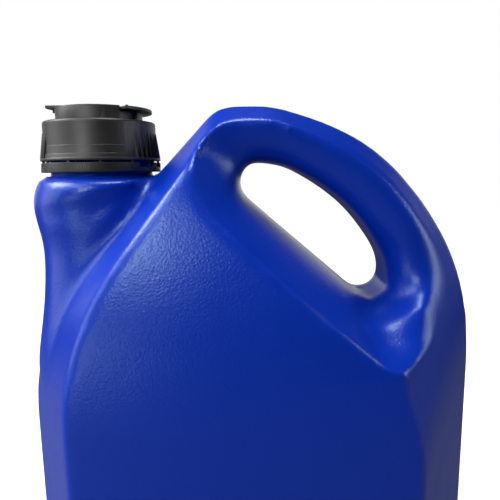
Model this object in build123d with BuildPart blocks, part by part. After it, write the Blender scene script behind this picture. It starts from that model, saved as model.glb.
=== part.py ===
from build123d import *
import math
import os

os.makedirs("parts", exist_ok=True)

# A five litre oil jug with a pull-out pouring spout in its screw closure.
# The origin is on the floor under the middle of the jug; +X points to the handle,
# -Y is the face with the S-shaped bevel, and both broad faces are alike.

# Jug
JUG_LEFT = -104.0
JUG_RIGHT = 109.0
RIGHT_LEAN = 0.7
LEFT_TOP = 160.0
SIDE_TOP = 192.0
HANDLE_TOP = 311.6
HALF_DEPTH = 60.0
RIM_HALF = 7.0
RIM_ROUND = 4.0
BEVEL_DEPTH = 62.0
WALL = 1.8
BASE_CORNER = 14.0
BASE_DROP = 2.0
PANEL_LEFT = -67.5
PANEL_RIGHT = 67.0
PANEL_CORNER = 12.5
PANEL_LEFT_TOP = 178.0
PANEL_RIGHT_TOP = 150.0
PANEL_CREST = 178.0
PANEL_RISE = 137.0
PANEL_BOW = 700.0
PANEL_SWING = 24
PANEL_TOP_HALF = 24.5

# Handle recess
GRIP_FLOOR = 20.0
RIDGE_DEPTH = 24.0
STEP_FLOOR = 36.0
STEP_ROUND = 3.0
RECESS_OUT = 70.0

# Neck and its column
NECK_X = -66.5
NECK_R = 22.9
NECK_BORE_R = 19.8
SHOULDER_Z = 280.2
RIM_Z = 302.3
BEAD_R = 24.6
NECK_ROOT = 1.0

# Closure: heights are above the skirt's lower edge
CAP_Z = 288.0
SKIRT_HEIGHT = 17.4
SKIRT_R = 25.2
SKIRT_BORE_R = 24.0
FLARE_R = 27.0
SKIRT_STEPS = [(25.9, 6.4), (26.5, 2.8)]
LIP_HEIGHT = 1.0
DECK = 1.8
SKIRT_ROUND = 1.0
STEP_CHAMFER = 0.3
RIB_TOP = 12.4
RIB_WIDTH = 1.1
RIB_COUNT = 13
RIB_SWEEP = 78.0
RIB_ROOT = 0.6
CROWN_R = 19.4
CROWN_WALL = 1.5
CROWN_TOP = 23.6
POST_TOP = 21.4
WINDOW_FROM = 16.5
WINDOW_TO = 47.0
WINDOW_FLOOR = 18.0

# Tamper band under the skirt
BAND_R = 26.9
BAND_WALL = 1.9
BAND_TOP = -0.9
BAND_FOOT = -5.1
BAND_HOOK = 1.5
BAND_GAP = 0.3
BEAD_HEIGHT = 2.1
BRIDGES = 12
BRIDGE_SWEEP = 3.0
BRIDGE_SET = 0.5
SLOT_TURNS = [-27, 0, 27]
SLOT_SWEEP = 21.0
SLOT_DEPTH = 2.1

# How far a cut runs past the face it opens
PAST = 1.0

# Spout, its cover and the finger wing
SPOUT_R = 14.5
SPOUT_WALL = 1.5
SPOUT_TOP = 20.4
SPOUT_FOOT = -22.0
SPOUT_FLANGE_R = 18.8
FLANGE = 1.6
SLIDE_GAP = 0.4
COVER_R = 17.4
COVER_TOP = 21.8
WING = 1.3
WING_R = 23.9
WING_HALF = 46.0
WING_ROOT = 4.0
HINGE_X = -6.0
TAIL_HALF = 3.6
TAIL_SET = 0.5
RISER = 3.9


def moved(loop, inset):
    """The loop's runs of points, moved inwards by inset (outwards if negative)."""
    points = []
    for run in loop:
        points += run[1][:-1]
    count = len(points)
    shifted = []
    for i in range(count):
        before = Vector(*points[i]) - Vector(*points[i - 1])
        after = Vector(*points[(i + 1) % count]) - Vector(*points[i])
        before = before.normalized()
        after = after.normalized()
        left = Vector(-before.Y - after.Y, before.X + after.X).normalized()
        stretch = max(0.5, left.X * -after.Y + left.Y * after.X)
        place = Vector(*points[i]) + left * (inset / stretch)
        shifted.append((place.X, place.Y))
    runs = []
    start = 0
    for run in loop:
        last = start + len(run[1]) - 1
        runs.append((run[0], [shifted[k % count] for k in range(start, last + 1)]) + run[2:])
        start = last
    return runs


def outline(loop, depth):
    """One closed face of straight runs, arcs and curves, depth in front of the middle plane."""
    with BuildSketch(Plane.XZ.offset(depth)) as face:
        with BuildLine():
            for run in loop:
                if run[0] == "line":
                    Line(run[1][0], run[1][-1])
                elif run[0] == "arc":
                    ThreePointArc(*run[1])
                else:
                    Spline(*run[1], tangents=run[2])
        make_face()
    return face.sketch


# Directions in the outlines; the hole's straight side runs down to the right
UP = (0, 1)
DOWN = (0, -1)
LEFT = (-1, 0)
SLOPE = (-0.69, -0.725)
ALONG = (0.757, -0.654)
OVER = (-1, 0.1)


def corner(x, z, size, side):
    """Three points of a rounded base corner, in the order of the loop."""
    low = (x - side * size, z)
    mid = (x - side * size * (1 - math.sqrt(0.5)), z + size * (1 - math.sqrt(0.5)))
    high = (x, z + size)
    return [low, mid, high] if side > 0 else [high, mid, low]


# Both outlines reach a little below the floor and are cut off there
RIM_LOOP = [
    ("line", [(JUG_LEFT + BASE_CORNER, -BASE_DROP), (JUG_RIGHT - BASE_CORNER, -BASE_DROP)]),
    ("arc", corner(JUG_RIGHT, -BASE_DROP, BASE_CORNER, 1)),
    ("line", [(JUG_RIGHT, BASE_CORNER - BASE_DROP), (JUG_RIGHT - RIGHT_LEAN, SIDE_TOP)]),
    (
        "curve",
        [(JUG_RIGHT - RIGHT_LEAN, SIDE_TOP), (106.9, 212.9), (97.7, 244.3), (78.1, 274.3), (47.3, 299.5),
         (15.5, 310.8), (-2, HANDLE_TOP)],
        (UP, LEFT),
    ),
    ("curve", [(-2, HANDLE_TOP), (-10.9, 310.3), (-16.9, 305.5)], (LEFT, SLOPE)),
    ("line", [(-16.9, 305.5), (-36.6, 284.8)]),
    ("curve", [(-36.6, 284.8), (-60, 261), (-82, 237), (-94.5, 213), (-100.3, 194), (JUG_LEFT, LEFT_TOP)],
     (SLOPE, DOWN)),
    ("line", [(JUG_LEFT, LEFT_TOP), (JUG_LEFT, BASE_CORNER - BASE_DROP)]),
    ("arc", corner(JUG_LEFT, -BASE_DROP, BASE_CORNER, -1)),
]

PANEL_LOOP = [
    ("line", [(PANEL_LEFT + PANEL_CORNER, -BASE_DROP), (PANEL_RIGHT - PANEL_CORNER, -BASE_DROP)]),
    ("arc", corner(PANEL_RIGHT, -BASE_DROP, PANEL_CORNER, 1)),
    ("line", [(PANEL_RIGHT, PANEL_CORNER - BASE_DROP), (PANEL_RIGHT, PANEL_RIGHT_TOP)]),
    (
        "curve",
        [(PANEL_RIGHT, PANEL_RIGHT_TOP), (63, 178), (58.5, 200), (64.5, 219), (61, 237), (50, 255.5),
         (30, 272.5), (2, 284)],
        (UP, LEFT),
    ),
    ("curve", [(2, 284), (-8, 283.2), (-15, 279.5)], (LEFT, SLOPE)),
    ("line", [(-15, 279.5), (-22, 272.1)]),
    (
        "curve",
        [(-22, 272.1), (-34, 258), (-50, 237), (-62, 213), (PANEL_LEFT, PANEL_LEFT_TOP)],
        (SLOPE, DOWN),
    ),
    ("line", [(PANEL_LEFT, PANEL_LEFT_TOP), (PANEL_LEFT, PANEL_CORNER - BASE_DROP)]),
    ("arc", corner(PANEL_LEFT, -BASE_DROP, PANEL_CORNER, -1)),
]

HOLE_LOOP = [
    ("line", [(3.4, 268.2), (52.6, 225.7)]),
    ("curve", [(52.6, 225.7), (58.5, 222.8), (64.2, 225.3), (66.8, 232.9)], (ALONG, UP)),
    ("curve", [(66.8, 232.9), (61.5, 248.5), (45.6, 267.9), (25, 281.9), (8.6, 286.5)], (UP, OVER)),
    ("curve", [(8.6, 286.5), (0.5, 284.5), (-1.9, 277.5), (3.4, 268.2)], (OVER, ALONG)),
]


def side_form(inset):
    """All that lies between the floor and the panel's curve, bowed about a far upright axis."""
    half = HALF_DEPTH - inset
    rise = PANEL_RISE - inset
    top_half = PANEL_TOP_HALF - inset
    knee = math.acos(top_half / half)
    turns = [knee * i / 6 for i in range(7)]
    crest = [(-half * math.cos(turn), PANEL_CREST + rise * math.sin(turn)) for turn in turns]
    top = HANDLE_TOP + PAST
    axis = Axis((0, PANEL_BOW - HALF_DEPTH, 0), (0, 0, 1))
    with BuildPart() as form:
        with BuildSketch(Plane.YZ):
            with BuildLine():
                Polyline((-half + BASE_CORNER, inset), (0, inset), (0, top), (-top_half, top), crest[-1])
                Spline(*crest, tangents=(UP, (half * math.sin(knee), rise * math.cos(knee))))
                Line(crest[0], (-half, inset + BASE_CORNER))
                TangentArc((-half, inset + BASE_CORNER), (-half + BASE_CORNER, inset), tangent=DOWN)
            make_face()
        revolve(axis=axis, revolution_arc=PANEL_SWING)
    return form.part.rotate(axis, -PANEL_SWING / 2)


# The recess round the hole: a straight wall along the hole's long side, and a step below the grip


def wall_at(along, out):
    """A point beside the hole's straight side: how far along it, and how far out from it."""
    start = HOLE_LOOP[0][1][0]
    return (start[0] + along * ALONG[0] + out * ALONG[1], start[1] + along * ALONG[1] - out * ALONG[0])


# Depth under the grip's floor, and how far the hole's edge has rolled outwards there;
# the roll is wider under the grip than along the straight side
HOLE_ROLL = [(-1.0, 6.2), (0.0, 6.2), (0.8, 3.8), (2.6, 1.6), (5.6, 0.4), (9.5, 0.0), (GRIP_FLOOR, 0.0)]
ROLL_LEAN = 0.2

STRAIGHT = 62.0
LONG_WALL = 70.0
LIP_WALL = 80.0
DRAFT = 0.145
FLOOR_OUT = 7.4
RIDGE_OUT = FLOOR_OUT + DRAFT * (RIDGE_DEPTH - GRIP_FLOOR)
STEP_OUT = FLOOR_OUT + DRAFT * (STEP_FLOOR - GRIP_FLOOR)
MOUTH_OUT = FLOOR_OUT + DRAFT * (RECESS_OUT - GRIP_FLOOR)

LEAN_UP = (-0.3, 1)
FOLD_UP = (0.9, 0.43)

FLOOR_LOOP = [
    ("line", [wall_at(0, FLOOR_OUT), wall_at(STRAIGHT, FLOOR_OUT)]),
    ("curve", [wall_at(STRAIGHT, FLOOR_OUT), (54.5, 216.8), (67.5, 219.2), (73.5, 231)], (ALONG, UP)),
    ("curve", [(73.5, 231), (69, 249), (48.5, 276.5), (29, 289.2), (11, 294.6)], (UP, OVER)),
    ("curve", [(11, 294.6), (-3, 292), (-9, 282), (-7.5, 270), wall_at(0, FLOOR_OUT)], (OVER, ALONG)),
]
RIDGE_TOP = (
    "curve",
    [(90, 237), (85.4, 244), (81.2, 252), (67.9, 273.4), (50.4, 289.2), (33, 297.4), (16, 302), (-1, 303.8)],
    (LEAN_UP, LEFT),
)
RIDGE_LOOP = [
    ("line", [wall_at(0, RIDGE_OUT), wall_at(STRAIGHT, RIDGE_OUT)]),
    (
        "curve",
        [wall_at(STRAIGHT, RIDGE_OUT), (54, 216), (66, 219.6), (76, 227.2), (90, 237)],
        (ALONG, FOLD_UP),
    ),
    RIDGE_TOP,
    (
        "curve",
        [(-1, 303.8), (-10, 299.5), (-15.8, 292), (-17.4, 284), (-15.3, 275.5), (-9.6, 267.6),
         wall_at(0, RIDGE_OUT)],
        (LEFT, ALONG),
    ),
]
OUTER_TOP = (
    "curve",
    [(97, 237), (94, 248), (72, 277), (54, 293), (36, 302), (18, 307), (-1, 309)],
    (LEAN_UP, LEFT),
)
OUTER_END = (
    "curve",
    [(-1, 309), (-11, 303), (-17.5, 293.5), (-18.8, 284), (-16.6, 274.8), (-10.6, 266.6),
     wall_at(0, STEP_OUT)],
    (LEFT, ALONG),
)
EDGE_LOOP = [
    ("line", [wall_at(0, STEP_OUT), wall_at(STRAIGHT, STEP_OUT)]),
    (
        "curve",
        [wall_at(STRAIGHT, STEP_OUT), (53, 215.8), (66, 220.2), (76, 228), (97, 237)],
        (ALONG, FOLD_UP),
    ),
    OUTER_TOP,
    OUTER_END,
]
STEP_LOOP = [
    ("line", [wall_at(0, STEP_OUT), wall_at(LONG_WALL, STEP_OUT)]),
    (
        "curve",
        [wall_at(LONG_WALL, STEP_OUT), (57, 211), (67, 211.5), (78, 216.5), (97, 237)],
        (ALONG, (0.5, 1)),
    ),
    OUTER_TOP,
    OUTER_END,
]
MOUTH_LOOP = [
    ("line", [wall_at(0, MOUTH_OUT), wall_at(LIP_WALL, MOUTH_OUT)]),
    ("curve", [wall_at(LIP_WALL, MOUTH_OUT), (60, 203), (73, 206), (86, 214), (99, 237)], (ALONG, (0.3, 1))),
    (
        "curve",
        [(99, 237), (96, 250), (76, 279), (57, 296), (38, 306), (18, 312), (-1, 314)],
        (LEAN_UP, LEFT),
    ),
    (
        "curve",
        [(-1, 314), (-15, 308), (-23, 297), (-25, 284), (-22, 271), (-15, 262), wall_at(0, MOUTH_OUT)],
        (LEFT, ALONG),
    ),
]

# Radius of the neck column at each height, from the shoulder down into the body
COLUMN = [
    (27.6, SHOULDER_Z),
    (29.8, 276.0),
    (31.4, 268.0),
    (28.9, 253.0),
    (28.7, 237.0),
    (30.4, 221.0),
    (33.2, 204.5),
    (34.6, 193.0),
    (32.0, 178.0),
]


def dish_form(runs, depths, grow, floor_round=0):
    """A recess from its floor out to its mouth."""
    with BuildPart() as form:
        loft([outline(moved(run, -grow), depth) for run, depth in zip(runs, depths)], ruled=True)
        if floor_round > 0:
            fillet(form.faces().sort_by(Axis.Y)[-1].edges(), radius=floor_round)
    return form.part


def leaned(loop, shift):
    """The loop shifted away from the hole's straight side, towards the grip."""
    return [
        (run[0], [(x - shift * ALONG[1], z + shift * ALONG[0]) for x, z in run[1]]) + run[2:]
        for run in loop
    ]


def hole_form(grow):
    """The hole through the handle, with its edge rolled out onto the grip."""
    rings = [leaned(moved(HOLE_LOOP, -flare), ROLL_LEAN * flare) for depth, flare in HOLE_ROLL]
    depths = [max(0, GRIP_FLOOR - depth - grow * (depth > 0)) for depth, flare in HOLE_ROLL]
    return dish_form(rings, depths, grow)


def column_form(inset):
    """The waisted column that carries the neck, turned about the neck's axis."""
    curve = [(radius - inset, height) for radius, height in COLUMN]
    curve[0] = (COLUMN[0][0] - inset, SHOULDER_Z - inset)
    with BuildPart() as form:
        with BuildSketch(Plane(origin=(NECK_X, 0, 0), x_dir=(1, 0, 0), z_dir=(0, -1, 0))):
            with BuildLine():
                Spline(*curve)
                Polyline(curve[-1], (0, curve[-1][1]), (0, curve[0][1]), curve[0])
            make_face()
        revolve(axis=Axis((NECK_X, 0, 0), (0, 0, 1)))
    return form.part


def body_form(inset):
    """The jug's form, drawn in by inset all over: one half, mirrored, with column and hole."""
    with BuildPart() as form:
        extrude(outline(moved(RIM_LOOP, inset), 0), amount=RIM_HALF)
        loft(
            [outline(moved(RIM_LOOP, inset), RIM_HALF), outline(moved(PANEL_LOOP, inset), BEVEL_DEPTH)],
            ruled=True,
        )
        if inset == 0:
            rim = form.edges().filter_by(
                lambda edge: all(abs(edge.position_at(at).Y + RIM_HALF) < 0.05 for at in (0.1, 0.5, 0.9))
            )
            fillet(rim, radius=RIM_ROUND)
        add(side_form(inset), mode=Mode.INTERSECT)
        add(
            dish_form([STEP_LOOP, MOUTH_LOOP], [STEP_FLOOR - inset, RECESS_OUT], inset, STEP_ROUND),
            mode=Mode.SUBTRACT,
        )
        add(
            dish_form(
                [FLOOR_LOOP, RIDGE_LOOP, EDGE_LOOP],
                [GRIP_FLOOR - inset, RIDGE_DEPTH - inset, STEP_FLOOR - inset],
                inset,
            ),
            mode=Mode.SUBTRACT,
        )
        add(hole_form(inset), mode=Mode.SUBTRACT)
        mirror(about=Plane.XZ)
        add(column_form(inset))
    return form.part


def turned(profile, height):
    """A ring or tube turned about the neck's axis from its (radius, height) corners."""
    with BuildPart() as form:
        with BuildSketch(Plane(origin=(NECK_X, 0, height), x_dir=(1, 0, 0), z_dir=(0, -1, 0))):
            with BuildLine():
                Polyline(*profile, close=True)
            make_face()
        revolve(axis=Axis((NECK_X, 0, 0), (0, 0, 1)))
    return form.part


def sector(inner, outer, start, sweep, low, high):
    """A block between two radii and two heights, from one bearing round to another."""
    with BuildPart() as form:
        with BuildSketch(Plane(origin=(NECK_X, 0, CAP_Z + low))):
            with BuildLine():
                CenterArc((0, 0), outer, start, sweep)
                CenterArc((0, 0), inner, start, sweep)
                for turn in (math.radians(start), math.radians(start + sweep)):
                    Line(
                        (inner * math.cos(turn), inner * math.sin(turn)),
                        (outer * math.cos(turn), outer * math.sin(turn)),
                    )
            make_face()
        extrude(amount=high - low)
    return form.part


# The blow-moulded jug: hollow, with the handle's tube open to the inside
with BuildPart() as jug:
    add(body_form(0))
    add(
        turned(
            [
                (0, -NECK_ROOT),
                (NECK_R, -NECK_ROOT),
                (NECK_R, BAND_FOOT + BAND_HOOK + CAP_Z - SHOULDER_Z),
                (BEAD_R, BAND_FOOT + BAND_HOOK + CAP_Z - SHOULDER_Z),
                (NECK_R, BAND_FOOT + BAND_HOOK + BEAD_HEIGHT + CAP_Z - SHOULDER_Z),
                (NECK_R, RIM_Z - SHOULDER_Z),
                (0, RIM_Z - SHOULDER_Z),
            ],
            SHOULDER_Z,
        )
    )
    add(body_form(WALL), mode=Mode.SUBTRACT)
    with Locations((NECK_X, 0, RIM_Z)):
        Cylinder(
            NECK_BORE_R,
            RIM_Z - SHOULDER_Z + 2 * WALL,
            align=(Align.CENTER, Align.CENTER, Align.MAX),
            mode=Mode.SUBTRACT,
        )
jug.part.label = "jug"
export_step(jug.part, "parts/jug.step")

# The screw closure: stepped skirt, grip ribs on both sides, deck and crown collar
with BuildPart() as rib:
    with BuildSketch(Plane.XZ) as rib_side:
        with BuildLine():
            Polyline(
                (SKIRT_R - RIB_ROOT, 0),
                (FLARE_R, 0),
                (FLARE_R, LIP_HEIGHT),
                (SKIRT_R, RIB_TOP),
                (SKIRT_R - RIB_ROOT, RIB_TOP),
                close=True,
            )
        make_face()
    extrude(amount=RIB_WIDTH / 2, both=True)

with BuildPart() as closure:
    add(
        turned(
            [
                (SKIRT_BORE_R, 0),
                (FLARE_R, 0),
                (FLARE_R, LIP_HEIGHT),
                (SKIRT_STEPS[1][0], LIP_HEIGHT + STEP_CHAMFER),
                (SKIRT_STEPS[1][0], SKIRT_STEPS[1][1] - STEP_CHAMFER),
                (SKIRT_STEPS[0][0], SKIRT_STEPS[1][1]),
                (SKIRT_STEPS[0][0], SKIRT_STEPS[0][1] - STEP_CHAMFER),
                (SKIRT_R, SKIRT_STEPS[0][1]),
                (SKIRT_R, SKIRT_HEIGHT - SKIRT_ROUND),
                (SKIRT_R - 0.3 * SKIRT_ROUND, SKIRT_HEIGHT - 0.3 * SKIRT_ROUND),
                (SKIRT_R - SKIRT_ROUND, SKIRT_HEIGHT),
                (CROWN_R, SKIRT_HEIGHT),
                (CROWN_R, CROWN_TOP),
                (CROWN_R - CROWN_WALL, CROWN_TOP),
                (CROWN_R - CROWN_WALL, SKIRT_HEIGHT),
                (SPOUT_R + SLIDE_GAP, SKIRT_HEIGHT),
                (SPOUT_R + SLIDE_GAP, SKIRT_HEIGHT - DECK),
                (SKIRT_BORE_R, SKIRT_HEIGHT - DECK),
            ],
            CAP_Z,
        )
    )
    for bearing in (0, 180):
        for place in range(RIB_COUNT):
            turn = bearing - RIB_SWEEP / 2 + place * RIB_SWEEP / (RIB_COUNT - 1)
            add(rib.part.rotate(Axis.Z, turn).moved(Location((NECK_X, 0, CAP_Z))))
    for start in (-WINDOW_TO, WINDOW_FROM):
        add(
            sector(
                CROWN_R - 2 * CROWN_WALL,
                CROWN_R + PAST,
                start,
                WINDOW_TO - WINDOW_FROM,
                WINDOW_FLOOR,
                CROWN_TOP + PAST,
            ),
            mode=Mode.SUBTRACT,
        )
    add(
        sector(
            CROWN_R - 2 * CROWN_WALL,
            CROWN_R + PAST,
            -WINDOW_FROM,
            2 * WINDOW_FROM,
            POST_TOP,
            CROWN_TOP + PAST,
        ),
        mode=Mode.SUBTRACT,
    )
closure.part.label = "closure"
export_step(closure.part, "parts/closure.step")

# The tamper band: hooked under the neck's bead, slotted on both sides, bridged to the skirt
with BuildPart() as tamper_band:
    add(
        turned(
            [
                (NECK_R + BAND_GAP, BAND_FOOT),
                (BAND_R, BAND_FOOT),
                (BAND_R, BAND_TOP),
                (BAND_R - BAND_WALL, BAND_TOP),
                (BAND_R - BAND_WALL, BAND_FOOT + BAND_HOOK),
                (NECK_R + BAND_GAP, BAND_FOOT + BAND_HOOK),
            ],
            CAP_Z,
        )
    )
    for bearing in (0, 180):
        for turn in SLOT_TURNS:
            add(
                sector(
                    BAND_R - BAND_WALL - BAND_GAP,
                    BAND_R + PAST,
                    bearing + turn - SLOT_SWEEP / 2,
                    SLOT_SWEEP,
                    BAND_TOP - SLOT_DEPTH,
                    BAND_TOP + PAST,
                ),
                mode=Mode.SUBTRACT,
            )
    for place in range(BRIDGES):
        bearing = 360 / BRIDGES * (place + 0.5) - BRIDGE_SWEEP / 2
        add(sector(BAND_R - BAND_WALL, BAND_R - BRIDGE_SET, bearing, BRIDGE_SWEEP, BAND_TOP, 0))
tamper_band.part.label = "tamper_band"
export_step(tamper_band.part, "parts/tamper_band.step")

# The ring that seals the closure on the neck's rim
with BuildPart() as seal_ring:
    add(
        turned(
            [
                (SPOUT_FLANGE_R + SLIDE_GAP, RIM_Z - CAP_Z),
                (SKIRT_BORE_R - SLIDE_GAP, RIM_Z - CAP_Z),
                (SKIRT_BORE_R - SLIDE_GAP, SKIRT_HEIGHT - DECK),
                (SPOUT_FLANGE_R + SLIDE_GAP, SKIRT_HEIGHT - DECK),
            ],
            CAP_Z,
        )
    )
seal_ring.part.label = "seal_ring"
export_step(seal_ring.part, "parts/seal_ring.step")

# The pouring spout, stowed down in the neck
with BuildPart() as spout:
    add(
        turned(
            [
                (SPOUT_R - SPOUT_WALL, SPOUT_FOOT),
                (SPOUT_FLANGE_R, SPOUT_FOOT),
                (SPOUT_FLANGE_R, SPOUT_FOOT + FLANGE),
                (SPOUT_R, SPOUT_FOOT + FLANGE),
                (SPOUT_R, SPOUT_TOP),
                (SPOUT_R - SPOUT_WALL, SPOUT_TOP),
            ],
            CAP_Z,
        )
    )
spout.part.label = "spout"
export_step(spout.part, "parts/spout.step")

# The spout's push-on cover, with a raised half and a tail that shows beside the collar
with BuildPart() as spout_cover:
    add(
        turned(
            [
                (0, SPOUT_TOP),
                (SPOUT_R + SLIDE_GAP / 2, SPOUT_TOP),
                (SPOUT_R + SLIDE_GAP / 2, SKIRT_HEIGHT + SLIDE_GAP / 2),
                (COVER_R, SKIRT_HEIGHT + SLIDE_GAP / 2),
                (COVER_R, COVER_TOP),
                (0, COVER_TOP),
            ],
            CAP_Z,
        )
    )
    with BuildSketch(Plane(origin=(NECK_X, 0, CAP_Z + COVER_TOP))):
        Circle(COVER_R)
        with Locations((HINGE_X - WING / 2 - SLIDE_GAP / 2, 0)):
            Rectangle(2 * COVER_R, 2 * COVER_R, align=(Align.MIN, Align.CENTER), mode=Mode.SUBTRACT)
    extrude(amount=WING)
    tail_low = CAP_Z + CROWN_TOP + SLIDE_GAP
    with BuildSketch(Plane(origin=(NECK_X, 0, CAP_Z + COVER_TOP + WING))):
        with Locations((-COVER_R + TAIL_SET, 0)):
            Rectangle(RISER, 2 * TAIL_HALF, align=(Align.MIN, Align.CENTER))
    extrude(amount=tail_low - CAP_Z - COVER_TOP - WING)
    with BuildSketch(Plane(origin=(NECK_X, 0, tail_low))):
        with Locations((-COVER_R + TAIL_SET + RISER, 0)):
            Rectangle(WING_R - COVER_R + TAIL_SET + RISER, 2 * TAIL_HALF, align=(Align.MAX, Align.CENTER))
    extrude(amount=WING)
spout_cover.part.label = "spout_cover"
export_step(spout_cover.part, "parts/spout_cover.step")

# The finger wing, which folds up about its film hinge
with BuildPart() as finger_wing:
    with BuildSketch(Plane(origin=(NECK_X, 0, CAP_Z + COVER_TOP))):
        Circle(COVER_R)
        with Locations((HINGE_X, 0)):
            Rectangle(3 * COVER_R, 2 * COVER_R + 1, align=(Align.MAX, Align.CENTER), mode=Mode.SUBTRACT)
    extrude(amount=WING)
    add(sector(COVER_R - WING_ROOT, WING_R, -WING_HALF, 2 * WING_HALF, COVER_TOP, COVER_TOP + WING))
    with Locations((NECK_X + HINGE_X, 0, CAP_Z + COVER_TOP + WING / 2)):
        Cylinder(WING / 2, 2 * math.sqrt(COVER_R**2 - HINGE_X**2) - 2, rotation=(90, 0, 0))
finger_wing.part.label = "finger_wing"
export_step(finger_wing.part, "parts/finger_wing.step")
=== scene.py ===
import math

import bmesh
import bpy
import numpy as np
from mathutils import Matrix, Vector


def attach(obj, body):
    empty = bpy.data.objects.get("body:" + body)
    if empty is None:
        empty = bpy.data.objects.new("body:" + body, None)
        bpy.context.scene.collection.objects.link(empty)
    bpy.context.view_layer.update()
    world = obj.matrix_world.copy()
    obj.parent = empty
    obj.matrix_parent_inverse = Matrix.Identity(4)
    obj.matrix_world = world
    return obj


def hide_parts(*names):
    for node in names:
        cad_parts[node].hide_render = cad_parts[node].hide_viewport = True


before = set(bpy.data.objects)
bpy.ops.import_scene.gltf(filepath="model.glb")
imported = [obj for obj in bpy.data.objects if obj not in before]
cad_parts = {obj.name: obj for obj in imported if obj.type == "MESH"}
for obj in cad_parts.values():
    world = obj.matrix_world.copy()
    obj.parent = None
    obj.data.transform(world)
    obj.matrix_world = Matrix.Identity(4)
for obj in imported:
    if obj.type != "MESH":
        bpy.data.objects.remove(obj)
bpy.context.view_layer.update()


# Jug
# The blow-moulded polyethylene body, hollow and in one piece with its handle and neck.
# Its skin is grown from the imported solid: remeshed evenly and eased, as blown corners are,
# and then the neck is turned on and the inside is taken out again.
MM = 0.001
NECK_X = -66.5 * MM
SHOULDER_Z = 280.2 * MM
RIM_Z = 302.3 * MM
CAP_Z = 288.0 * MM
CAP_PLACE = (NECK_X, 0, CAP_Z)
NECK_R = 22.9 * MM
BORE_R = 19.8 * MM
WALL = 1.8 * MM
SKIN_VOXEL = 1.8 * MM
ROUND_STEPS = 160
EASING_STEP = 0.5
SKIN_EASING = 3
RECESS_EASING = 70
COLUMN_EASING = 6
SHARP_ANGLE = math.radians(50)


def as_object(name, mesh):
    piece = bpy.data.objects.new(name, mesh)
    bpy.context.scene.collection.objects.link(piece)
    return piece


def from_bmesh(name, form):
    mesh = bpy.data.meshes.new(name)
    form.normal_update()
    form.to_mesh(mesh)
    form.free()
    return as_object(name, mesh)


def settled(piece):
    """The piece with its modifiers worked into its mesh."""
    bpy.context.view_layer.update()
    ready = piece.evaluated_get(bpy.context.evaluated_depsgraph_get())
    mesh = bpy.data.meshes.new_from_object(ready)
    piece.modifiers.clear()
    piece.data = mesh
    return piece


def combine(piece, tool, operation):
    """Fuses a tool with a piece, or cuts it out, and drops the tool."""
    step = piece.modifiers.new("combine", "BOOLEAN")
    step.object = tool
    step.operation = operation
    step.solver = "MANIFOLD"
    settled(piece)
    bpy.data.objects.remove(tool)
    return piece


def remeshed(piece, voxel):
    step = piece.modifiers.new("even", "REMESH")
    step.mode = "VOXEL"
    step.voxel_size = voxel
    return settled(piece)


def points_of(mesh):
    """The mesh's points, a row for each."""
    places = np.empty(len(mesh.vertices) * 3)
    mesh.vertices.foreach_get("co", places)
    return places.reshape(-1, 3)


def move_points(mesh, places):
    mesh.vertices.foreach_set("co", places.ravel())
    mesh.update()


def outer_skin(node):
    """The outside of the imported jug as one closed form, without its inner wall."""
    form = bmesh.new()
    form.from_mesh(node.data)
    bmesh.ops.remove_doubles(form, verts=form.verts, dist=1e-6)
    rim = []
    for face in form.faces:
        middle = face.calc_center_median()
        at_top = min(vert.co.z for vert in face.verts) > RIM_Z - 0.01 * MM
        if at_top and math.hypot(middle.x - NECK_X, middle.y) < NECK_R:
            rim.append(face)
    bmesh.ops.delete(form, geom=rim, context="FACES")
    reached = {min(form.verts, key=lambda vert: vert.co.z)}
    to_visit = list(reached)
    while to_visit:
        for edge in to_visit.pop().link_edges:
            for vert in edge.verts:
                if vert not in reached:
                    reached.add(vert)
                    to_visit.append(vert)
    inner_wall = [vert for vert in form.verts if vert not in reached]
    bmesh.ops.delete(form, geom=inner_wall, context="VERTS")
    bmesh.ops.holes_fill(form, edges=[edge for edge in form.edges if edge.is_boundary], sides=0)
    return form


def ease(mesh, rounds, share=None):
    """Draws every point towards its neighbours, as a blown wall rounds its corners."""
    places = points_of(mesh)
    ends = np.empty(len(mesh.edges) * 2, int)
    mesh.edges.foreach_get("vertices", ends)
    ends = ends.reshape(-1, 2)
    both = np.concatenate([ends, ends[:, ::-1]])
    both = both[np.argsort(both[:, 0], kind="stable")]
    starts = np.searchsorted(both[:, 0], np.arange(len(places)))
    neighbours = np.bincount(both[:, 0], minlength=len(places))[:, None]
    part = EASING_STEP if share is None else EASING_STEP * share(places)[:, None]
    for _ in range(rounds):
        middle = np.add.reduceat(places[both[:, 1]], starts, axis=0) / neighbours
        places = places + part * (middle - places)
    move_points(mesh, places)


def stepped(value, low, high):
    """0 below low, 1 above high, eased between, for arrays."""
    part = np.clip((value - low) / (high - low), 0, 1)
    return part * part * (3 - 2 * part)


# The crease round the handle's recess, seen from the front, in mm: lip, corner, ridge, left end
RECESS_EDGE = [
    (-5, 258.5), (56, 206), (66, 205), (78, 210), (88, 219), (94, 231), (93, 240), (86, 254), (71, 275),
    (52, 291), (33, 300), (16, 304.5), (-1, 305.5), (-11, 301), (-17.5, 293), (-19.5, 284), (-17.5, 274),
    (-12, 265),
]
LEFT_END_FROM = 11


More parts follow.
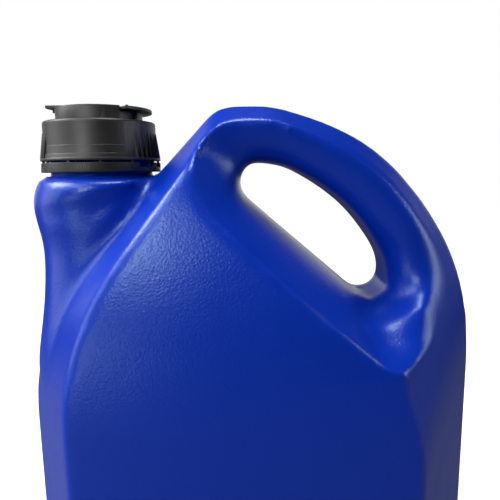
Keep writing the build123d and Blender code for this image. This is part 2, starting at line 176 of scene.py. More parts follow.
def inside_recess(places):
    """How far inside the recess's crease each point lies, in mm, and 0 outside it."""
    spot = places[:, [0, 2]] / MM
    corners = np.array(RECESS_EDGE, float)
    inside = np.zeros(len(spot), bool)
    nearest = np.full(len(spot), 1e9)
    for a, b in zip(corners, np.roll(corners, -1, axis=0)):
        crosses = (a[1] > spot[:, 1]) != (b[1] > spot[:, 1])
        with np.errstate(divide="ignore", invalid="ignore"):
            where = (b[0] - a[0]) * (spot[:, 1] - a[1]) / (b[1] - a[1]) + a[0]
        inside ^= crosses & (spot[:, 0] < where)
        along = np.clip(((spot - a) @ (b - a)) / ((b - a) @ (b - a)), 0, 1)
        nearest = np.minimum(nearest, np.linalg.norm(spot - a - along[:, None] * (b - a), axis=1))
    return np.where(inside, nearest, 0)


# Where the recess is eased, as (none, full) in mm: from its crease inwards and off the parting
# plane, a little all over, and most at its lower right and upper left
EASED_FROM_CREASE = (0.5, 5.0)
EASED_OFF_PLANE = (8, 15)
LOWER_RIGHT_X = (52, 66)
LOWER_RIGHT_Z = (245, 262)
UPPER_LEFT_X = (6, 26)
UPPER_LEFT_Z = (268, 282)
EASED_ALL_OVER = 0.22
EASED_UPPER_LEFT = 0.8


def recess_share(places):
    """How much each point of the recess gives way to the easing."""
    depth = np.abs(places[:, 1]) / MM
    x, z = places[:, 0] / MM, places[:, 2] / MM
    lower_right = stepped(x, *LOWER_RIGHT_X) * (1 - stepped(z, *LOWER_RIGHT_Z))
    upper_left = (1 - stepped(x, *UPPER_LEFT_X)) * stepped(z, *UPPER_LEFT_Z)
    softer = np.maximum(lower_right, EASED_UPPER_LEFT * upper_left)
    inner = stepped(inside_recess(places), *EASED_FROM_CREASE) * stepped(depth, *EASED_OFF_PLANE)
    return inner * (EASED_ALL_OVER + (1 - EASED_ALL_OVER) * softer)


def nearest_on(line, spot, values=None):
    """Distance of each point from an open line, and the line's own values there."""
    corners = np.array(line, float)
    values = np.zeros(len(line)) if values is None else np.array(values)
    distance = np.full(len(spot), 1e9)
    there = np.zeros(len(spot))
    for a, b, first, last in zip(corners, corners[1:], values, values[1:]):
        along = np.clip(((spot - a) @ (b - a)) / ((b - a) @ (b - a)), 0, 1)
        reach = np.linalg.norm(spot - a - along[:, None] * (b - a), axis=1)
        closer = reach < distance
        distance = np.where(closer, reach, distance)
        there = np.where(closer, first + along * (last - first), there)
    return distance, there


# The hole's edge under the roll, in mm: its long lower line, and its round left end
HOLE_EDGE = [
    (53.0, 225.4), (3.4, 268.2), (-0.4, 273.0), (-1.4, 277.5), (-0.6, 282.0), (2.6, 285.4), (8.6, 286.5),
]
HOLE_DEPTH = 12.0
# The panel is felt just outside the crease, by a ray from in front of the jug
RECESS_MIDDLE = Vector((30, 260))
PANEL_MEETS = 1.5
IN_FRONT = -0.2
DEPTH_IF_MISSED = 50.0
# The roll's section: a straight slope with a rounder start at the hole
ROUND_SHARE = 0.2
ROUND_POWER = 6
# Directions down from the hole's straight side, and along the wall to the lower right
UNDER_HOLE = (-0.654, -0.756)
ALONG_WALL = (0.757, -0.654)
# Where the roll fades in and out, in mm, and round the left end in degrees
WALL_TOP = 270
WALL_UNDER_HOLE = (-3, -1)
WALL_ENDS = (58, 80)
LEFT_END_MIDDLE = (4, 278)
LEFT_END_STARTS = (60, 150)
LEFT_END_STOPS = (240, 260)
LEFT_END_TOP = (274, 300)
ROLL_FROM_HOLE = (0.2, 1.0)
ROLL_OFF_PLANE = (6, 11)


def shape_recess_wall(piece):
    """Rolls the recess's lower wall and left end from the panel's crease into the hole."""
    edge = RECESS_EDGE[1::-1] + RECESS_EDGE[LEFT_END_FROM:][::-1]
    depths = []
    for corner in edge:
        outside = Vector(corner) + PANEL_MEETS * (Vector(corner) - RECESS_MIDDLE).normalized()
        hit, place, _, _ = piece.ray_cast((outside.x * MM, IN_FRONT, outside.y * MM), (0, 1, 0))
        depths.append(-place.y / MM if hit else DEPTH_IF_MISSED)
    places = points_of(piece.data)
    spot = places[:, [0, 2]] / MM
    x, z, depth = spot[:, 0], spot[:, 1], np.abs(places[:, 1]) / MM
    from_crease, panel_depth = nearest_on(edge, spot, depths)
    from_hole = nearest_on(HOLE_EDGE, spot)[0]
    share = from_hole / (from_hole + from_crease + 1e-6)
    rise = (1 - ROUND_SHARE) * share + ROUND_SHARE * (1 - (1 - share) ** ROUND_POWER)
    wanted = HOLE_DEPTH + (panel_depth - HOLE_DEPTH) * rise
    hole_x, hole_z = HOLE_EDGE[1]
    wall_x, wall_z = RECESS_EDGE[0]
    under_hole = UNDER_HOLE[0] * (x - hole_x) + UNDER_HOLE[1] * (z - hole_z)
    along_wall = ALONG_WALL[0] * (x - wall_x) + ALONG_WALL[1] * (z - wall_z)
    bearing = np.degrees(np.arctan2(z - LEFT_END_MIDDLE[1], x - LEFT_END_MIDDLE[0])) % 360
    left_end = stepped(bearing, *LEFT_END_STARTS) * (1 - stepped(bearing, *LEFT_END_STOPS))
    left_end *= 1 - stepped(z, *LEFT_END_TOP)
    near = np.where(z > WALL_TOP, left_end, stepped(under_hole, *WALL_UNDER_HOLE))
    near *= 1 - stepped(along_wall, *WALL_ENDS)
    off_hole = (inside_recess(places) > 0) * stepped(from_hole, *ROLL_FROM_HOLE)
    near *= off_hole * stepped(depth, *ROLL_OFF_PLANE)
    places[:, 1] = np.sign(places[:, 1]) * (depth + (wanted - depth) * near) * MM
    move_points(piece.data, places)


jug_body = remeshed(from_bmesh("jug_body", outer_skin(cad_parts["jug"])), SKIN_VOXEL)
shape_recess_wall(jug_body)
remeshed(jug_body, SKIN_VOXEL)
ease(jug_body.data, SKIN_EASING)
ease(jug_body.data, RECESS_EASING, recess_share)


def through(knots, at):
    """A smooth curve through (place, value) knots, read at an array of places."""
    place, value = np.array(knots, float).T
    slope = np.gradient(value, place)
    k = np.clip(np.searchsorted(place, at) - 1, 0, len(place) - 2)
    width = place[k + 1] - place[k]
    t = np.clip((at - place[k]) / width, 0, 1)
    start = (1 + 2 * t) * (1 - t) ** 2 * value[k] + t * (1 - t) ** 2 * width * slope[k]
    return start + t * t * (3 - 2 * t) * value[k + 1] - t * t * (1 - t) * width * slope[k + 1]


# The neck column's outline in mm, as (height, radius), with the shoulder's crease at 268
COLUMN = [
    (178, 32.0), (193, 34.6), (204.5, 33.2), (221, 30.4), (237, 28.7), (253, 28.9), (261, 29.9),
    (268, 31.7), (276, 30.0), (280.2, 27.6),
]
CREASE_Z = 268.0
# The crease between the column and the bevel beside it, as (height, x)
VALLEY_LINE = [(190, -96), (211, -88), (230, -79), (253, -63), (280, -39)]
# The crease's climb for each mm towards the handle, from where, and over how much
SHOULDER_CLIMB = 0.21
CLIMB_FROM_X = -97.0
CLIMB_REACH = 48
# Where the climb fades in and out, in mm, and how near a point lies to the column's surface
CLIMB_GROWS = (225, 262)
ON_SURFACE = (0.8, 2.0)
BEFORE_VALLEY = (-10, -3)
COLUMN_STARTS = (225, 240)
COLUMN_STOPS = (279.2, 280)


def shape_shoulder(mesh):
    """Lets the shoulder's crease climb round the column, from the outer side to the handle."""
    places = points_of(mesh)
    across = places[:, :2] - (NECK_X, 0)
    radius = np.linalg.norm(across, axis=1) / MM
    height = places[:, 2] / MM
    crease = CREASE_Z + SHOULDER_CLIMB * np.clip(places[:, 0] / MM - CLIMB_FROM_X, 0, CLIMB_REACH)
    top = COLUMN[-1][0]
    above = CREASE_Z + (height - crease) * (top - CREASE_Z) / (top - crease)
    below = height - (crease - CREASE_Z) * stepped(height, *CLIMB_GROWS)
    read_at = np.where(height > crease, above, below)
    own = through(COLUMN, height)
    on_column = 1 - stepped(np.abs(radius - own), *ON_SURFACE)
    on_column *= 1 - stepped(places[:, 0] / MM - through(VALLEY_LINE, height), *BEFORE_VALLEY)
    on_column *= stepped(height, *COLUMN_STARTS) * (1 - stepped(height, *COLUMN_STOPS))
    push = (through(COLUMN, read_at) - own) * on_column
    places[:, :2] += across / (radius[:, None] + 1e-6) * push[:, None]
    move_points(mesh, places)


# The jug's part round the column that is eased with it, as (starts, stops) in mm
LEFT_PART_X = (-36, -28)
LEFT_PART_FOOT = (185, 200)
LEFT_PART_TOP = (276, 279)


def left_share(places):
    x, z = places[:, 0] / MM, places[:, 2] / MM
    upright = stepped(z, *LEFT_PART_FOOT)
    return (1 - stepped(x, *LEFT_PART_X)) * upright * (1 - stepped(z, *LEFT_PART_TOP))


shape_shoulder(jug_body.data)
ease(jug_body.data, COLUMN_EASING, left_share)


def drawn_in(piece, name, wall, voxel):
    """The room inside a skin: a copy moved in by the wall, and remeshed."""
    room = as_object(name, piece.data.copy())
    outwards = np.empty(len(room.data.vertices) * 3)
    room.data.vertices.foreach_get("normal", outwards)
    move_points(room.data, points_of(room.data) - wall * outwards.reshape(-1, 3))
    return remeshed(room, voxel)


def turned(name, profile, centre=CAP_PLACE, segments=ROUND_STEPS):
    """A closed ring or disc turned about an upright axis from (radius, height) corners in mm."""
    form = bmesh.new()
    rings = []
    for radius, height in profile:
        if radius < 1e-6:
            rings.append([form.verts.new((centre[0], centre[1], centre[2] + height * MM))])
            continue
        rings.append([
            form.verts.new((
                centre[0] + radius * MM * math.cos(2 * math.pi * k / segments),
                centre[1] + radius * MM * math.sin(2 * math.pi * k / segments),
                centre[2] + height * MM,
            ))
            for k in range(segments)
        ])
    pairs = list(zip(rings, rings[1:]))
    if len(rings[0]) > 1 or len(rings[-1]) > 1:
        pairs.append((rings[-1], rings[0]))
    for low, high in pairs:
        if len(low) == 1 and len(high) == 1:
            continue
        for k in range(segments):
            following = (k + 1) % segments
            if len(low) == 1:
                form.faces.new((low[0], high[following], high[k]))
            elif len(high) == 1:
                form.faces.new((low[k], low[following], high[0]))
            else:
                form.faces.new((low[k], low[following], high[following], high[k]))
    bmesh.ops.recalc_face_normals(form, faces=form.faces)
    return from_bmesh(name, form)


def closed_form(name, form, sections):
    """Joins equal rows of corners into one closed form, with its faces outwards."""
    count = len(sections[0])
    for first, second in zip(sections, sections[1:]):
        for k in range(count):
            following = (k + 1) % count
            form.faces.new((first[k], first[following], second[following], second[k]))
    form.faces.new(sections[0])
    form.faces.new(sections[-1])
    bmesh.ops.recalc_face_normals(form, faces=form.faces)
    return from_bmesh(name, form)


hollow = drawn_in(jug_body, "hollow", WALL, 2 * SKIN_VOXEL)

# Outlines from here on are in mm, as (radius, height) from the neck's axis and the skirt's foot
FOOT = (SHOULDER_Z - CAP_Z) / MM
CLEARING_PROFILE = [(0, -6.9), (25.0, -6.9), (25.0, 30), (0, 30)]
NECK_PROFILE = [
    (0, FOOT - 3.0), (25.5, FOOT - 3.0), (25.9, FOOT - 0.9), (24.4, FOOT + 0.15), (23.4, FOOT + 0.8),
    (22.9, FOOT + 2.0), (22.9, -3.75), (24.3, -3.6), (24.6, -3.3), (24.5, -2.9), (22.9, -1.5),
    (22.9, 13.9), (22.5, 14.3), (0, 14.3),
]
combine(jug_body, turned("neck_clearing", CLEARING_PROFILE), "DIFFERENCE")
combine(jug_body, turned("neck", NECK_PROFILE), "UNION")

THREAD_PITCH = 4.0 * MM
THREAD_LOW = 1.6
THREAD_TURNS = 2.2
THREAD_BASE = 22.9
THREAD_HEIGHT = 0.8
THREAD_WIDTH = 1.9
THREAD_ROOT = -0.4
STEPS_A_TURN = 60
RUN_OUT_STEPS = 12


def thread_ridge():
    """A thread that wraps the neck, run out to nothing at both ends."""
    form = bmesh.new()
    steps = int(THREAD_TURNS * STEPS_A_TURN)
    sections = []
    for step in range(steps + 1):
        turn = 2 * math.pi * THREAD_TURNS * step / steps
        crest = THREAD_HEIGHT * min(1, step / RUN_OUT_STEPS, (steps - step) / RUN_OUT_STEPS)
        rise = THREAD_LOW + THREAD_PITCH / MM * THREAD_TURNS * step / steps
        corners = [
            (THREAD_ROOT, -THREAD_WIDTH / 2),
            (crest, -THREAD_WIDTH / 5),
            (crest, THREAD_WIDTH / 5),
            (THREAD_ROOT, THREAD_WIDTH / 2),
        ]
        section = []
        for out, up in corners:
            radius = (THREAD_BASE + out) * MM
            section.append(form.verts.new((
                NECK_X + radius * math.cos(turn),
                radius * math.sin(turn),
                CAP_Z + (rise + up) * MM,
            )))
        sections.append(section)
    return closed_form("thread", form, sections)


combine(jug_body, thread_ridge(), "UNION")

BORE_PROFILE = [(0, FOOT - 12), (BORE_R / MM, FOOT - 12), (BORE_R / MM, 20), (0, 20)]
# The ring that the hollow, made of coarser cells, has to leave to the neck's wall
NECK_WALL_PROFILE = [(BORE_R / MM, FOOT - 2.2), (27.4, FOOT - 2.2), (27.4, 25), (BORE_R / MM, 25)]
bore = turned("bore", BORE_PROFILE)
combine(hollow, turned("neck_wall", NECK_WALL_PROFILE), "DIFFERENCE")
combine(hollow, bore, "UNION")
combine(jug_body, hollow, "DIFFERENCE")
jug_body.data.shade_smooth()
jug_body.data.set_sharp_from_angle(angle=SHARP_ANGLE)


class Amount:
    """A number on its way through a material; sums and products make its Math nodes."""

    def __init__(self, finish, socket):
        self.finish = finish
        self.socket = socket

    def worked(self, operation, first, second):
        return self.finish.node("ShaderNodeMath", {"operation": operation}, [first, second])

    def __add__(self, other):
        return self.worked("ADD", self, other)

    __radd__ = __add__

    def __rsub__(self, other):
        return self.worked("SUBTRACT", other, self)

    def __mul__(self, other):
        return self.worked("MULTIPLY", self, other)

    __rmul__ = __mul__


class Finish:
    """A material under construction."""

    def __init__(self, name):
        self.material = bpy.data.materials.new(name)
        self.material.use_nodes = True
        self.tree = self.material.node_tree
        self.shader = self.tree.nodes["Principled BSDF"]
        self.places = self.node("ShaderNodeTexCoord", {}, {}, "Object")

    def node(self, kind, settings, inputs, output=0):
        made = self.tree.nodes.new(kind)
        for key, value in settings.items():
            setattr(made, key, value)
        pairs = enumerate(inputs) if isinstance(inputs, list) else inputs.items()
        for key, value in pairs:
            self.join(made.inputs[key], value)
        return Amount(self, made.outputs[output])

    def join(self, socket, value):
        if isinstance(value, Amount):
            self.tree.links.new(value.socket, socket)
        elif isinstance(value, tuple) and len(value) == 3 and socket.type == "RGBA":
            socket.default_value = (*value, 1)
        else:
            socket.default_value = value

    def set(self, **values):
        for key, value in values.items():
            self.join(self.shader.inputs[key.replace("_", " ")], value)

    def noise(self, scale, detail=3.0, roughness=0.5):
        return self.node("ShaderNodeTexNoise", {}, {
            "Vector": self.places, "Scale": scale, "Detail": detail, "Roughness": roughness})

    def spots(self, scale):
        return self.node("ShaderNodeTexVoronoi", {"feature": "F1"}, {
            "Vector": self.places, "Scale": scale}, "Distance")

    def between(self, amount, first, second):
        """A colour mixed from two by an amount."""
        return self.node("ShaderNodeMix", {"data_type": "RGBA"}, {0: amount, 6: first, 7: second}, 2)

    def band(self, amount, low, high):
        """0 below low, 1 above high, eased between."""
        return self.node("ShaderNodeMapRange", {"interpolation_type": "SMOOTHSTEP"}, {
            "Value": amount, "From Min": low, "From Max": high, "To Min": 0.0, "To Max": 1.0})

    def size_of(self, amount):
        """The amount without its sign."""
        return self.node("ShaderNodeMath", {"operation": "ABSOLUTE"}, [amount])

    def along(self, axis):
        return self.node("ShaderNodeSeparateXYZ", {}, [self.places], axis)

    def relief(self, height, distance, under=None):
        inputs = {"Height": height, "Distance": distance, "Strength": 1.0}
        if under is not None:
            inputs["Normal"] = under
        return self.node("ShaderNodeBump", {}, inputs)


# Satin cobalt-blue polyethylene: a fine leathery mould grain, faint flow clouds, and the mould's seam
DEEP_BLUE = (0.0006, 0.023, 0.34)
LIGHT_BLUE = (0.0010, 0.028, 0.38)
BLUE_SHEEN = (0.58, 0.82, 1.0)
PLASTIC_IOR = 1.5
SEAM_HALF_WIDTH = 0.00012
SEAM_FADED_AT = 0.00045
SEAM_HEIGHT = 0.00012
GRAIN_HEIGHT = 0.00010
blue = Finish("blue_polyethylene")
clouds = blue.noise(9.0, 2.0)
grain = blue.noise(1500.0, 2.0, 0.6)
pebble = blue.spots(900.0)
patches = blue.noise(55.0, 2.0)
blue.set(
    Base_Color=blue.between(clouds, DEEP_BLUE, LIGHT_BLUE),
    Roughness=0.25 + 0.07 * patches + 0.03 * grain,
    IOR=PLASTIC_IOR,
    Specular_Tint=BLUE_SHEEN,
)
seam_line = 1 - blue.band(blue.size_of(blue.along("Y")), SEAM_HALF_WIDTH, SEAM_FADED_AT)
seam_relief = blue.relief(seam_line, SEAM_HEIGHT)
blue.set(Normal=blue.relief(0.6 * grain + 0.5 * pebble, GRAIN_HEIGHT, seam_relief))
jug_body.data.materials.clear()
jug_body.data.materials.append(blue.material)
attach(jug_body, "jug")
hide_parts("jug")


# Tamper band
# A thin black ring under the skirt, hooked below the neck's bead and joined to the skirt
# by small bridges; three slots on each ribbed side let it snap over the bead.
BAND_PROFILE = [
    (23.3, -5.0), (23.5, -5.1), (26.6, -5.1), (26.9, -4.8), (26.9, -3.0), (25.0, -3.0), (25.0, -3.6),
    (23.3, -3.6),
]
BAND_R = 26.9
BAND_INNER_R = 25.0
WALL_LOW = -3.2
WALL_HIGH = -0.9
WALL_PROFILE = [(26.9, -3.2), (26.9, -1.05), (26.75, -0.9)]
SLOT_TURNS = (-27, 0, 27)
SLOT_HALF_TURN = 10.5
BRIDGES = 12
BRIDGE_SWEEP = 2.6


def arc_block(name, inner, outer, start, sweep, low, high, centre=CAP_PLACE):
    """A closed block between two radii (a number, or one for each height) and two bearings in degrees."""
    form = bmesh.new()
    steps = max(2, int(round(ROUND_STEPS * sweep / 360)))
    outers = outer if isinstance(outer, list) else [(outer, low), (outer, high)]
    profile = [(inner, low)] + outers + [(inner, high)]
    sections = []
    for step in range(steps + 1):
        turn = math.radians(start + sweep * step / steps)
        sections.append([
            form.verts.new((
                centre[0] + radius * MM * math.cos(turn),
                centre[1] + radius * MM * math.sin(turn),
                centre[2] + height * MM,
            ))
            for radius, height in profile
        ])
    return closed_form(name, form, sections)


band = turned("band_ring", BAND_PROFILE)
slots = sorted(side + turn for side in (0, 180) for turn in SLOT_TURNS)
for slot, following in zip(slots, slots[1:] + [slots[0] + 360]):
    start = slot + SLOT_HALF_TURN
    sweep = following - SLOT_HALF_TURN - start
    wall = arc_block("band_wall", BAND_INNER_R, WALL_PROFILE, start, sweep, WALL_LOW, WALL_HIGH)
    combine(band, wall, "UNION")


def ring_tree(name, material):
    """Geometry nodes that repeat the piece's own mesh round an upright axis."""
    tree = bpy.data.node_groups.new(name, "GeometryNodeTree")
    tree.is_modifier = True
    wanted = [
        ("Geometry", "NodeSocketGeometry"), ("Count", "NodeSocketInt"), ("Start", "NodeSocketFloat"),
        ("Pitch", "NodeSocketFloat"), ("Axis", "NodeSocketVector"),
    ]
    for label, kind in wanted:
        tree.interface.new_socket(name=label, in_out="INPUT", socket_type=kind)
    tree.interface.new_socket(name="Geometry", in_out="OUTPUT", socket_type="NodeSocketGeometry")
    sizes = tree.nodes.new("NodeGroupInput")
    result = tree.nodes.new("NodeGroupOutput")
    link = tree.links.new
    spots = tree.nodes.new("GeometryNodeMeshLine")
    link(sizes.outputs["Count"], spots.inputs["Count"])
    spots.inputs["Offset"].default_value = (0, 0, 0)
    place = tree.nodes.new("GeometryNodeInputIndex")
    turn = tree.nodes.new("ShaderNodeMath")
    turn.operation = "MULTIPLY_ADD"
    link(place.outputs[0], turn.inputs[0])
    link(sizes.outputs["Pitch"], turn.inputs[1])
    link(sizes.outputs["Start"], turn.inputs[2])
    about = tree.nodes.new("ShaderNodeCombineXYZ")
    link(turn.outputs[0], about.inputs["Z"])
    repeat = tree.nodes.new("GeometryNodeInstanceOnPoints")
    link(spots.outputs["Mesh"], repeat.inputs["Points"])
    link(sizes.outputs["Geometry"], repeat.inputs["Instance"])
    link(about.outputs[0], repeat.inputs["Rotation"])
    shift = tree.nodes.new("GeometryNodeTransform")
    link(repeat.outputs[0], shift.inputs["Geometry"])
    link(sizes.outputs["Axis"], shift.inputs["Translation"])
    real = tree.nodes.new("GeometryNodeRealizeInstances")
    link(shift.outputs[0], real.inputs[0])
    coat = tree.nodes.new("GeometryNodeSetMaterial")
    coat.inputs["Material"].default_value = material
    link(real.outputs[0], coat.inputs["Geometry"])
    link(coat.outputs[0], result.inputs[0])
    return tree


def repeated(piece, tree, count, start, pitch):
    """The piece repeated round the neck's axis, as one plain mesh. Angles are in degrees."""
    step = piece.modifiers.new("repeat", "NODES")
    step.node_group = tree
    values = {"Count": count, "Start": math.radians(start), "Pitch": math.radians(pitch), "Axis": CAP_PLACE}
    for item in tree.interface.items_tree:
        if item.in_out == "INPUT" and item.name in values:
            step[item.identifier] = values[item.name]
    return settled(piece)


# Satin black polypropylene: fine mould texture in a faint haze
DEEP_BLACK = (0.007, 0.007, 0.007)
WORN_BLACK = (0.014, 0.0135, 0.013)
TEXTURE_HEIGHT = 0.00005
black = Finish("black_polypropylene")
speck = black.noise(2200.0, 2.0, 0.6)
haze = black.noise(120.0, 3.0)
black.set(
    Base_Color=black.between(haze, DEEP_BLACK, WORN_BLACK),
    Roughness=0.36 + 0.12 * haze + 0.06 * speck,
    IOR=PLASTIC_IOR,
)
black.set(Normal=black.relief(0.7 * speck + 0.3 * black.noise(500.0, 2.0), TEXTURE_HEIGHT))
round_axis = ring_tree("round_the_axis", black.material)

bridge = arc_block(
    "bridges", BAND_R - 1.6, BAND_R - 0.5, -BRIDGE_SWEEP / 2, BRIDGE_SWEEP, -1.0, 0.05, centre=(0, 0, 0),
)
combine(band, repeated(bridge, round_axis, BRIDGES, 180 / BRIDGES, 360 / BRIDGES), "UNION")

EDGE_BEVEL = 0.18
BEVEL_ANGLE = math.radians(32)


def finished(piece, node, body, material, bevel=EDGE_BEVEL):
    """Softens a moulded piece's edges, gives it its material and puts it on its body."""
    soft = piece.modifiers.new("edges", "BEVEL")
    soft.width = bevel * MM
    soft.segments = 2
    soft.limit_method = "ANGLE"
    soft.angle_limit = BEVEL_ANGLE
    soft.harden_normals = False
    settled(piece)
    piece.data.shade_smooth()
    piece.data.set_sharp_from_angle(angle=SHARP_ANGLE)
    piece.data.materials.clear()
    piece.data.materials.append(material)
    for face in piece.data.polygons:
        face.material_index = 0
    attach(piece, body)
    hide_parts(node)
    return piece


band.name = "band"
finished(band, "tamper_band", "jug", black.material)


# Screw closure
# A black moulded cap: a skirt with stepped smooth shields front and back and grip ribs on
# both sides, a lip at its foot, a flat deck, and a crown collar cut away for the fingers.
SKIRT_PROFILE = [
    (24.0, 0.0), (26.85, 0.0), (27.0, 0.2), (27.0, 0.85), (26.7, 1.15), (25.2, 1.3), (25.2, 16.3),
    (25.12, 16.7), (24.9, 17.1), (24.55, 17.33), (24.1, 17.4), (19.4, 17.4), (19.4, 18.0), (17.9, 18.0),
    (17.9, 17.4), (14.9, 17.4), (14.9, 15.6), (24.0, 15.6),
]
SHIELD_INNER_R = 24.4
SHIELD_PROFILE = [
    (26.75, 0.9), (26.6, 1.2), (26.45, 2.5), (26.3, 2.8), (26.05, 2.95), (25.95, 3.2), (25.8, 6.0),
    (25.7, 6.35), (25.5, 6.5), (25.42, 6.8), (25.38, 15.9), (25.3, 16.5), (25.0, 17.0), (24.6, 17.3),
]
SHIELD_START = -46
SHIELD_SWEEP = 87
COLLAR_INNER_R = 17.9
COLLAR_OUTER_R = 19.4
COLLAR_FOOT = 17.2
COLLAR_PROFILE = [(19.4, 17.2), (19.4, 23.3), (19.25, 23.55), (19.0, 23.65)]
COLLAR_START = 47
COLLAR_SWEEP = 266
POST_SWEEP = 33
POST_TOP = 21.4
skirt = turned("closure_shell", SKIRT_PROFILE)
for side in (-90, 90):
    shield = arc_block(
        "shield", SHIELD_INNER_R, SHIELD_PROFILE, side + SHIELD_START, SHIELD_SWEEP, 0.9, 17.3,
    )
    combine(skirt, shield, "UNION")
collar = arc_block(
    "collar", COLLAR_INNER_R, COLLAR_PROFILE, COLLAR_START, COLLAR_SWEEP, COLLAR_FOOT, 23.65,
)
combine(skirt, collar, "UNION")
post = arc_block(
    "post", COLLAR_INNER_R, COLLAR_OUTER_R, -POST_SWEEP / 2, POST_SWEEP, COLLAR_FOOT, POST_TOP,
)
combine(skirt, post, "UNION")

RIBS = 13
RIB_PITCH = 6.5
RIB_ROWS = [(0.8, 27.0), (1.5, 26.95), (12.1, 25.45), (12.9, 25.05)]
RIB_ROOT_R = 24.9
RIB_HALF = 0.62
# The rib's flanks turn towards its edge here: in from the edge, and as a share of its half
FLANK_IN = 0.35
FLANK_SHARE = 0.55


def grip_rib():
    """One rib, three-sided in plan, that grows outwards from its top to the lip."""
    form = bmesh.new()
    rows = []
    for height, out in RIB_ROWS:
        flank = (out - FLANK_IN) * MM
        rows.append([
            form.verts.new((RIB_ROOT_R * MM, -RIB_HALF * MM, height * MM)),
            form.verts.new((flank, -RIB_HALF * FLANK_SHARE * MM, height * MM)),
            form.verts.new((out * MM, 0, height * MM)),
            form.verts.new((flank, RIB_HALF * FLANK_SHARE * MM, height * MM)),
            form.verts.new((RIB_ROOT_R * MM, RIB_HALF * MM, height * MM)),
        ])
    return closed_form("grip_ribs", form, rows)


for side in (0, 180):
    first_rib = side - RIB_PITCH * (RIBS - 1) / 2
    combine(skirt, repeated(grip_rib(), round_axis, RIBS, first_rib, RIB_PITCH), "UNION")
finished(skirt, "closure", "closure", black.material, 0.12)


# Seal ring
# A ring of pale foam between the neck's rim and the closure's deck, which rises with the closure.
# It is out of sight while the closure is on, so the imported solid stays, with its finish.
PALE_FOAM = (0.62, 0.62, 0.58)
WHITE_FOAM = (0.74, 0.74, 0.70)
CELL_HEIGHT = 0.0001
foam = Finish("seal_foam")
cells = foam.spots(1600.0)
foam.set(
    Base_Color=foam.between(foam.noise(40.0), PALE_FOAM, WHITE_FOAM),
    Roughness=0.8 + 0.1 * cells,
    Normal=foam.relief(cells, CELL_HEIGHT),
)
seal_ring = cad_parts["seal_ring"]
seal_ring.data.materials.clear()
seal_ring.data.materials.append(foam.material)


# Spout
# The black polypropylene pouring tube, stowed in the neck and pulled up through the deck.
# It shows only when it is pulled, as a plain tube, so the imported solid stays, with its finish.
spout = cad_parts["spout"]
spout.data.materials.clear()
spout.data.materials.append(black.material)


# Spout cover
# The push-on cover of the spout. One half of its top is fixed and ends in a tail that hooks
# over the collar's rim; the other half is the finger wing on its film hinge.
HINGE_X = -6.0
HINGE_GAP = 0.85
COVER_R = 17.4
COVER_PROFILE = [
    (0, 20.4), (14.7, 20.4), (14.7, 17.6), (17.0, 17.6), (17.4, 18.0), (17.4, 21.5), (17.1, 21.8), (0, 21.8),
]
PLATE_TOP = 23.1
TAIL_ROOT = -13.0
TAIL_TIP = -23.9
TAIL_BOW = 0.02
TAIL_ACROSS = (3.6, 2.4, 1.2, 0, -1.2, -2.4, -3.6)


def plate(name, outline_points, low, high):
    """A closed flat plate from its outline in mm about the neck's axis."""
    form = bmesh.new()
    sections = [
        [form.verts.new((NECK_X + x * MM, y * MM, CAP_Z + height * MM)) for x, y in outline_points]
        for height in (low, high)
    ]
    return closed_form(name, form, sections)


def arc_points(radius, start, end, steps=48):
    return [
        (radius * math.cos(math.radians(start + (end - start) * k / steps)),
         radius * math.sin(math.radians(start + (end - start) * k / steps)))
        for k in range(steps + 1)
    ]


def rectangle(left, right, half):
    return [(left, -half), (right, -half), (right, half), (left, half)]


cover = turned("cover", COVER_PROFILE)
half_reach = math.degrees(math.acos((HINGE_X - HINGE_GAP) / COVER_R))
fixed_half = arc_points(COVER_R, half_reach, 360 - half_reach)
tail_end = [(TAIL_TIP + TAIL_BOW * y * y, y) for y in TAIL_ACROSS]
tail_outline = [(TAIL_ROOT, TAIL_ACROSS[-1]), (TAIL_ROOT, TAIL_ACROSS[0])] + tail_end
combine(cover, plate("cover_half", fixed_half, 21.7, PLATE_TOP), "UNION")
combine(cover, plate("tail_riser", rectangle(-16.9, TAIL_ROOT, TAIL_ACROSS[0]), 23.0, 24.2), "UNION")
combine(cover, plate("tail", tail_outline, 24.0, 25.3), "UNION")
combine(cover, plate("tail_nub", rectangle(-21.4, -20.4, 1.0), 22.2, 24.1), "UNION")
finished(cover, "spout_cover", "cover", black.material)


# Finger wing
# The thin half of the cover that folds up: a rounded plate that reaches past the collar,
# with a small catch on its edge, joined to the other half by a film hinge.
WING_EDGE = 46.0
WING_SIDE = 93
WING_R = 23.9
WING_UNDER = 21.85
# Each side is drawn in beside the hinge, so that the raised wing clears the collar
BESIDE_HINGE = [(HINGE_X, 15.6), (-3.2, 15.7), (-2.0, 17.0)]
KNUCKLE_PROFILE = [(0, -15.5), (0.62, -15.5), (0.62, 15.5), (0, 15.5)]
KNUCKLE_HEIGHT = 22.45
CATCH_PROFILE = [(0, 23.0), (0.7, 23.0), (0.62, 23.45), (0.3, 23.6), (0, 23.62)]
CATCH_OUT = 22.6
CATCH_TURN = math.radians(-43)
SMALL_STEPS = 24
wing_outline = (
    [(x, -y) for x, y in BESIDE_HINGE]
    + arc_points(COVER_R, -WING_SIDE, -WING_EDGE, 14)
    + arc_points(WING_R, -WING_EDGE, WING_EDGE)
    + arc_points(COVER_R, WING_EDGE, WING_SIDE, 14)
    + BESIDE_HINGE[::-1]
)
wing = plate("wing", wing_outline, WING_UNDER, PLATE_TOP)
knuckle = turned("knuckle", KNUCKLE_PROFILE, centre=(0, 0, 0), segments=SMALL_STEPS)
laid_down = Matrix.Rotation(math.pi / 2, 4, "X")
at_hinge = Matrix.Translation((NECK_X + HINGE_X * MM, 0, CAP_Z + KNUCKLE_HEIGHT * MM))
knuckle.data.transform(at_hinge @ laid_down)
combine(wing, knuckle, "UNION")
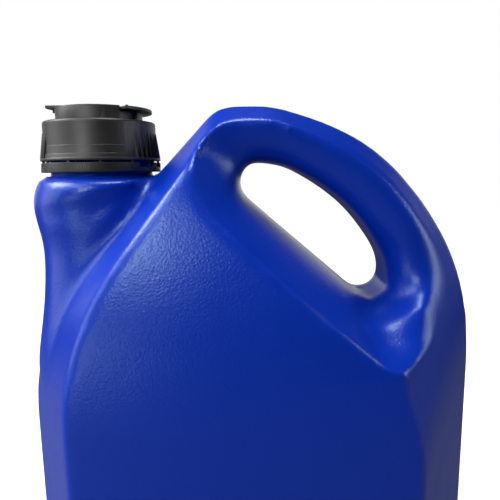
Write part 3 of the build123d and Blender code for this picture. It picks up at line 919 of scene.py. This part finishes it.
catch_place = (
    NECK_X + CATCH_OUT * MM * math.cos(CATCH_TURN),
    CATCH_OUT * MM * math.sin(CATCH_TURN),
    CAP_Z,
)
combine(wing, turned("catch", CATCH_PROFILE, centre=catch_place, segments=SMALL_STEPS), "UNION")
finished(wing, "finger_wing", "wing", black.material)


# Room, light and camera
# A floor that is pale to the camera and dark to every other ray, a world that is white to the
# camera and otherwise bright only low down behind the jug, soft lamps round the jug, and the
# camera where the photograph was taken from.
FLOOR_REACH = 3
FLOOR_PALE = (0.78, 0.78, 0.78)
FLOOR_PALER = (0.82, 0.82, 0.82)
FLOOR_DARK = (0.15, 0.15, 0.15)
# How much white the floor gives the camera by itself: near the jug, and from far off on
WHITE_NEAR = 0.50
WHITENS_OVER = (0.15, 0.80)
floor_form = bmesh.new()
bmesh.ops.create_grid(floor_form, x_segments=1, y_segments=1, size=FLOOR_REACH)
floor = from_bmesh("floor", floor_form)
floor_paint = Finish("floor_paint")
seen = floor_paint.node("ShaderNodeLightPath", {}, {}, "Is Camera Ray")
far = floor_paint.node("ShaderNodeVectorMath", {"operation": "LENGTH"}, [floor_paint.places], "Value")
whiteness = WHITE_NEAR + (1 - WHITE_NEAR) * floor_paint.band(far, *WHITENS_OVER)
pale = floor_paint.between(floor_paint.noise(3.0), FLOOR_PALE, FLOOR_PALER)
floor_paint.set(
    Base_Color=floor_paint.between(seen, FLOOR_DARK, pale),
    Emission_Color=floor_paint.between(seen * whiteness, (0.0, 0.0, 0.0), (1.0, 1.0, 1.0)),
    Emission_Strength=1.0,
    Roughness=0.9,
)
floor.data.materials.append(floor_paint.material)


class Surround(Finish):
    """The world's shader, built with the same tools as a material."""

    def __init__(self, tree):
        self.tree = tree
        self.shader = tree.nodes["Background"]
        self.places = self.node("ShaderNodeTexCoord", {}, {}, "Generated")


AMBIENT = 0.03
BEHIND_FROM = (0.35, 0.85)
LOW_UNDER = (0.10, 0.50)
world = bpy.data.worlds.new("surround")
bpy.context.scene.world = world
world.use_nodes = True
around = Surround(world.node_tree)
behind = around.band(around.along("Y"), *BEHIND_FROM)
low_down = 1 - around.band(around.along("Z"), *LOW_UNDER)
camera_ray = around.node("ShaderNodeLightPath", {}, {}, "Is Camera Ray")
room = AMBIENT + (1 - AMBIENT) * behind * low_down
around.set(Color=(1.0, 1.0, 1.0), Strength=camera_ray + (1 - camera_ray) * room)

LAMPS_AIM_AT = Vector((0, 0, 0.24))


def soft_lamp(name, place, size, radiance):
    """A rectangular lamp that faces the jug and isn't seen itself."""
    lamp = bpy.data.lights.new(name, "AREA")
    lamp.shape = "RECTANGLE"
    lamp.size, lamp.size_y = size
    lamp.energy = radiance * math.pi * size[0] * size[1]
    holder = bpy.data.objects.new(name, lamp)
    bpy.context.scene.collection.objects.link(holder)
    holder.location = place
    holder.rotation_euler = (LAMPS_AIM_AT - Vector(place)).to_track_quat("-Z", "Y").to_euler()
    holder.visible_camera = False


soft_lamp("window", (-0.31, -0.64, 0.56), (0.11, 0.34), 20.0)
soft_lamp("key", (-0.46, -0.28, 0.80), (0.34, 0.34), 5.5)
soft_lamp("overhead", (-0.02, 0.02, 1.15), (0.36, 0.36), 14.0)
soft_lamp("left_top", (-0.70, 0.06, 0.85), (0.32, 0.32), 20.0)
soft_lamp("left_side", (-1.10, -0.15, 0.45), (0.80, 0.80), 2.3)
soft_lamp("low_left", (-0.50, -0.68, 0.12), (0.34, 0.20), 3.5)
soft_lamp("right_side", (1.00, -0.20, 0.45), (0.50, 0.50), 4.0)

# The camera that was fitted to the photograph's ellipses of the closure
CAMERA_PLACE = (2.65 * MM, -230.41 * MM, 281.97 * MM)
CAMERA_FORWARD = (0, 0.987235, -0.159270)
CAMERA_UP = (0.011780, 0.159259, 0.987167)
sight = bpy.data.cameras.new("photo_camera")
sight.lens = 34.56
sight.sensor_width = 36
sight.clip_start = 0.01
sight.clip_end = 50
camera = bpy.data.objects.new("photo_camera", sight)
bpy.context.scene.collection.objects.link(camera)
forward = Vector(CAMERA_FORWARD).normalized()
right = forward.cross(Vector(CAMERA_UP)).normalized()
up = right.cross(forward)
rows = [(right[k], up[k], -forward[k], CAMERA_PLACE[k]) for k in range(3)]
camera.matrix_world = Matrix(rows + [(0, 0, 0, 1)])
bpy.context.scene.camera = camera
bpy.context.scene.view_settings.view_transform = "Standard"
